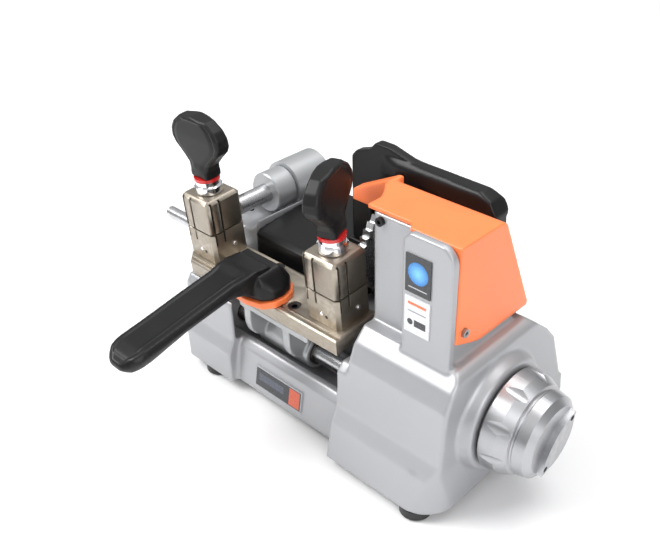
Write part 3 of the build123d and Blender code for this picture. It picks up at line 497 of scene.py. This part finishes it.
def lever_shape(co, normal):
    """Rounds the lever's tip, flanks and root, and sinks its top face between raised edges."""
    p = upright(co)
    u, y, z = p[:, 0] - LEVER_MIDDLE, p[:, 1], p[:, 2]
    drawn = np.interp(y, [-92, -86, LEVER_TIP_START], [5.0, 12.5, LEVER_HALF])
    past = np.clip((LEVER_TIP_START - y) / LEVER_TIP_LENGTH, 0, 1)
    round_half = LEVER_HALF * np.sqrt(np.maximum(0.05, 1 - past**2))
    top = np.interp(y, LEVER_TOP_Y, LEVER_TOP_Z)
    bottom = np.interp(y, LEVER_BOTTOM_Y, LEVER_BOTTOM_Z)
    level = np.clip((z - bottom) / np.maximum(1.0, top - bottom), 0, 1)
    arm = 1 - step_up(y, 0, 14)
    flank = 1 - arm * (0.24 * (1 - level) ** 2 + 0.12 * step_up(level, 0.6, 1.0))
    u_new = u * np.where(y < LEVER_TIP_START, round_half / drawn, 1.0) * flank
    half = np.minimum(LEVER_HALF, round_half) * flank
    up = step_up(normal[:, 2], 0.6, 0.85)
    inside = step_up(half - np.abs(u_new), 3.0, 5.0) * (1 - step_up(y, 6, 16)) * up
    ridge = np.exp(-(((u_new - 8.6) / 1.5) ** 2)) * arm * step_up(y, -82, -70) * up
    root = 9 * step_up(-37 - p[:, 0], 0, 11) * step_up(y, 12, 20) * (1 - step_up(y, 38, 48))
    lift = np.where(z > 110.5, np.maximum(0, np.minimum(z, 114) + root - z), 0)
    out = co.copy()
    out[:, 0] += (u_new - u) * MM
    out[:, 2] += (1.2 * ridge - 1.1 * inside + lift) * MM
    return out


# A wing knob's half-width up Z, as the CAD has it and as the skin has it.
KNOB_DRAWN_Z = [164.5, 169.5, 178.5, 187.5, 197, 205, 211, 213]
KNOB_DRAWN_HALF = [9, 9.5, 16, 26, 26, 23, 15, 12]
KNOB_Z = [164.5, 170, 176, 182, 188, 193, 199, 205, 211, 213]
KNOB_HALF = [9, 9.2, 11.6, 17.2, 23.6, 26, 25.6, 22.2, 14.5, 12]
KNOB_TOP = 213


def knob_shape(x, turn):
    """Narrows a wing's waist, sinks a panel in each face, and rounds the faces."""
    def shape(co, _normal):
        p = upright(co)
        c, s = math.cos(turn), math.sin(turn)
        u = (p[:, 0] - x) * c + (p[:, 1] - SHAFT_Y) * s
        v = -(p[:, 0] - x) * s + (p[:, 1] - SHAFT_Y) * c
        z = p[:, 2]
        drawn = np.interp(z, KNOB_DRAWN_Z, KNOB_DRAWN_HALF)
        half = np.interp(z, KNOB_Z, KNOB_HALF)
        u_new = u * np.clip(half / np.maximum(drawn, 1.0), 0.6, 1.05)
        du = (u_new - u) * MM
        u = u_new
        rim = np.minimum(half - np.abs(u), (KNOB_TOP - z) * 1.1)
        sunk = 0.8 * step_up(rim, 3.0, 4.6) * step_up(z, 172, 178)
        taper = 0.75 + 0.25 * step_up(half - np.abs(u), 0, 9)
        taper = taper * (0.86 + 0.14 * step_up(KNOB_TOP - z, 0, 18))
        waist = step_up(z, 168, 176)
        v_new = v * (1 + waist * (taper - 1))
        v_new = np.sign(v_new) * np.maximum(0, np.abs(v_new) - sunk * step_up(np.abs(v), 4.5, 6.5))
        dv = (v_new - v) * MM
        out = co.copy()
        lean_c, lean_s = math.cos(LEAN), math.sin(LEAN)
        along = s * du + c * dv
        out[:, 0] += c * du - s * dv
        out[:, 1] += along * lean_c
        out[:, 2] += along * lean_s
        return out
    return shape


HANDLE_MIDDLE_Y, HANDLE_MIDDLE_Z, HANDLE_HALF_HEIGHT = 108, 185.5, 9


def handle_shape(co, _normal):
    """Gives the carry handle's long top bar a deeper, rounder grip."""
    p = (co - np.array(DATUM)) / MM
    grip = step_up(p[:, 0], -14, 6) * step_up(p[:, 2], 172, 180)
    height = np.abs(p[:, 2] - HANDLE_MIDDLE_Z) / HANDLE_HALF_HEIGHT
    swell = grip * (0.75 * (1 - np.clip(height, 0, 1) ** 3) - 0.1)
    out = co.copy()
    out[:, 1] += (p[:, 1] - HANDLE_MIDDLE_Y) * swell * MM
    return out


softened("base_casting", 1.3, 6, 0.35)
softened("hood", 0.8, 6, 0.4)
softened("centre_cover", 1.0, 5, 0.4)
softened("cutter_guard", 0.9, 4, 0.4)
softened("carry_handle", 0.8, 14, 0.5, handle_shape)
softened("carriage_casting", 0.8, 6, 0.5)
softened("lever_collar", 0.5, 4, 0.5)
softened("grip_lever", 0.7, 42, 0.6, lever_shape)
for side, x in CLAMP_X.items():
    softened(f"{side}_wing_knob", 0.5, 24, 0.6, knob_shape(x, KNOB_TURN[side]))


def crisp(name, width):
    """Breaks a CAD node's sharp edges with a fine bevel."""
    obj = nodes[name]
    weld = obj.modifiers.new("weld", "WELD")
    weld.merge_threshold = 0.000005
    bevel = obj.modifiers.new("bevel", "BEVEL")
    bevel.width = width * MM
    bevel.segments = 2
    bevel.limit_method = "ANGLE"
    bevel.angle_limit = math.radians(28)
    bevel.harden_normals = True
    obj.data.shade_smooth()


def disc(name, centre, axis, radius, depth):
    """A short round pin with a broken edge, as a closed mesh."""
    sides, edge = 24, 0.25
    axis = Vector(axis).normalized()
    across = axis.orthogonal().normalized()
    other = axis.cross(across)
    rings = [(0, radius), (depth - edge, radius), (depth, radius - edge)]
    verts, faces = [], []
    for along, r in rings:
        for i in range(sides):
            a = 2 * math.pi * i / sides
            offset = axis * along + (across * math.cos(a) + other * math.sin(a)) * r
            verts.append(centre + offset * MM)
    for ring in range(len(rings) - 1):
        for i in range(sides):
            j = (i + 1) % sides
            base = ring * sides
            faces.append((base + i, base + j, base + sides + j, base + sides + i))
    faces.append(tuple(reversed(range(sides))))
    faces.append(tuple(range((len(rings) - 1) * sides, len(rings) * sides)))
    mesh = bpy.data.meshes.new(name)
    mesh.from_pydata(verts, [], faces)
    mesh.update()
    return link_mesh(name, mesh)


def jaw_pins(side, x):
    """Small bright stop pins in the lower jaw's front and right faces, each beside a dark socket disc
    painted as the shade of a hole.
    """
    forward, rightward = Vector((0, -math.cos(LEAN), -math.sin(LEAN))), Vector((1, 0, 0))
    root = JAW_HALF - 0.2
    front = leaned(x + 0.5, SHAFT_Y - root, 108)
    socket = leaned(x + 4.5, SHAFT_Y - root, 106.5)
    flank = leaned(x + root, SHAFT_Y + 3.5, 109)
    body = f"{side}_lower_clamp"
    attach(disc(f"{side}_front_pin", front, forward, 1.5, 1.0), body, "chrome")
    # The dark socket disc is painted shade standing in for a hole.
    attach(disc(f"{side}_front_socket_shade", socket, forward, 1.4, 0.4), body, "oxide_and_shade")
    attach(disc(f"{side}_flank_pin", flank, rightward, 1.7, 1.2), body, "chrome")


for side, x in CLAMP_X.items():
    jaw_pins(side, x)


def slab(name, corners_lo, corners_hi):
    """A closed box between two upright-carriage corners, leaned with the carriage."""
    x0, y0, z0 = corners_lo
    x1, y1, z1 = corners_hi
    verts = [leaned(x, y, z) for x in (x0, x1) for y in (y0, y1) for z in (z0, z1)]
    faces = [(0, 1, 3, 2), (4, 6, 7, 5), (0, 4, 5, 1), (2, 3, 7, 6), (0, 2, 6, 4), (1, 5, 7, 3)]
    mesh = bpy.data.meshes.new(name)
    mesh.from_pydata(verts, [], faces)
    mesh.update()
    return link_mesh(name, mesh)


# Where the dark slabs of painted groove shade sit in each jaw face.
GROOVE_OFFSETS = (-12.5, -4.5)
GROOVE_HALF_WIDTH = 0.95
FLOOR_OUTSIDE, FLOOR_INSIDE = JAW_HALF - 1.05, JAW_HALF - 1.7


def groove_shade_floor(x, offset, quarter, z0, z1):
    """A dark slab on the floor of one groove in one of a jaw's four faces: painted shade in the groove."""
    corners = []
    for u, v in ((offset - GROOVE_HALF_WIDTH, -FLOOR_OUTSIDE), (offset + GROOVE_HALF_WIDTH, -FLOOR_INSIDE)):
        for _ in range(quarter):
            u, v = -v, u
        corners.append((x + u, SHAFT_Y + v))
    low = (min(c[0] for c in corners), min(c[1] for c in corners), z0)
    high = (max(c[0] for c in corners), max(c[1] for c in corners), z1)
    return slab("groove", low, high)


def painted_groove_shade(side, x, part, body, z0, z1):
    """Dark slabs on the floors of the upright grooves in a jaw's four faces, as one piece: painted shade in
    the grooves.
    """
    mesh = bmesh.new()
    for offset in GROOVE_OFFSETS:
        for quarter in range(4):
            floor = groove_shade_floor(x, offset, quarter, z0, z1)
            mesh.from_mesh(floor.data)
            bpy.data.objects.remove(floor)
    name = f"{side}_{part}_grooves"
    data = bpy.data.meshes.new(name)
    mesh.to_mesh(data)
    mesh.free()
    attach(link_mesh(name, data), body, "oxide_and_shade")


# Painted groove shade on both jaws of each clamp.
for side, x in CLAMP_X.items():
    painted_groove_shade(side, x, "lower_jaw", f"{side}_lower_clamp", 114.0, 122.8)
    painted_groove_shade(side, x, "upper_jaw", f"{side}_upper_clamp", 124.7, 149.6)

for side in CLAMP_X:
    for part in ("lower_jaw", "upper_jaw"):
        crisp(f"{side}_{part}", 0.3)
crisp("clamp_plate", 0.35)


# ------------------------------------------------------------------ floor and light

FLOOR_HALF = 6.0


def make_floor():
    mesh = bpy.data.meshes.new("floor")
    corners = [(-FLOOR_HALF, -FLOOR_HALF, 0), (FLOOR_HALF, -FLOOR_HALF, 0)]
    corners += [(FLOOR_HALF, FLOOR_HALF, 0), (-FLOOR_HALF, FLOOR_HALF, 0)]
    mesh.from_pydata(corners, [], [(0, 1, 2, 3)])
    floor = link_mesh("floor", mesh)
    n = Nodes("floor")
    tone = n.ramp(n.noise(3, 3), (0.86, 0.86, 0.865), (0.9, 0.9, 0.9), 0.3, 0.7)
    floor.data.materials.append(n.set(Base_Color=tone, Roughness=0.7))


def make_world():
    """Soft surrounding light, white overhead and grey towards the horizon."""
    world = bpy.data.worlds.new("world")
    bpy.context.scene.world = world
    world.use_nodes = True
    tree = world.node_tree
    split = tree.nodes.new("ShaderNodeSeparateXYZ")
    ramp = tree.nodes.new("ShaderNodeValToRGB")
    horizon, overhead = ramp.color_ramp.elements
    horizon.position, overhead.position = 0.02, 0.75
    horizon.color = (0.30, 0.305, 0.315, 1)
    overhead.color = (1, 1, 1, 1)
    background = tree.nodes["Background"]
    tree.links.new(tree.nodes.new("ShaderNodeTexCoord").outputs["Generated"], split.inputs[0])
    tree.links.new(split.outputs[2], ramp.inputs[0])
    tree.links.new(ramp.outputs[0], background.inputs[0])
    background.inputs[1].default_value = 0.75


LIGHT_TARGET = Vector((0, 0, 0.09))


def area_light(name, where, size, power):
    """A soft rectangular light, aimed at the machine's middle."""
    data = bpy.data.lights.new(name, "AREA")
    data.shape = "RECTANGLE"
    data.size, data.size_y = size
    data.energy = power
    light = bpy.data.objects.new(name, data)
    bpy.context.scene.collection.objects.link(light)
    spot = Vector(where)
    turn = (LIGHT_TARGET - spot).to_track_quat("-Z", "Y").to_matrix().to_4x4()
    light.matrix_world = Matrix.Translation(spot) @ turn


bpy.context.scene.view_settings.view_transform = "Standard"
make_floor()
make_world()
area_light("key", (-0.9, -0.9, 1.5), (1.0, 1.0), 30)
area_light("fill", (1.6, -0.7, 0.9), (1.2, 1.2), 14)
area_light("top", (0.2, 0.5, 1.7), (1.4, 0.9), 14)
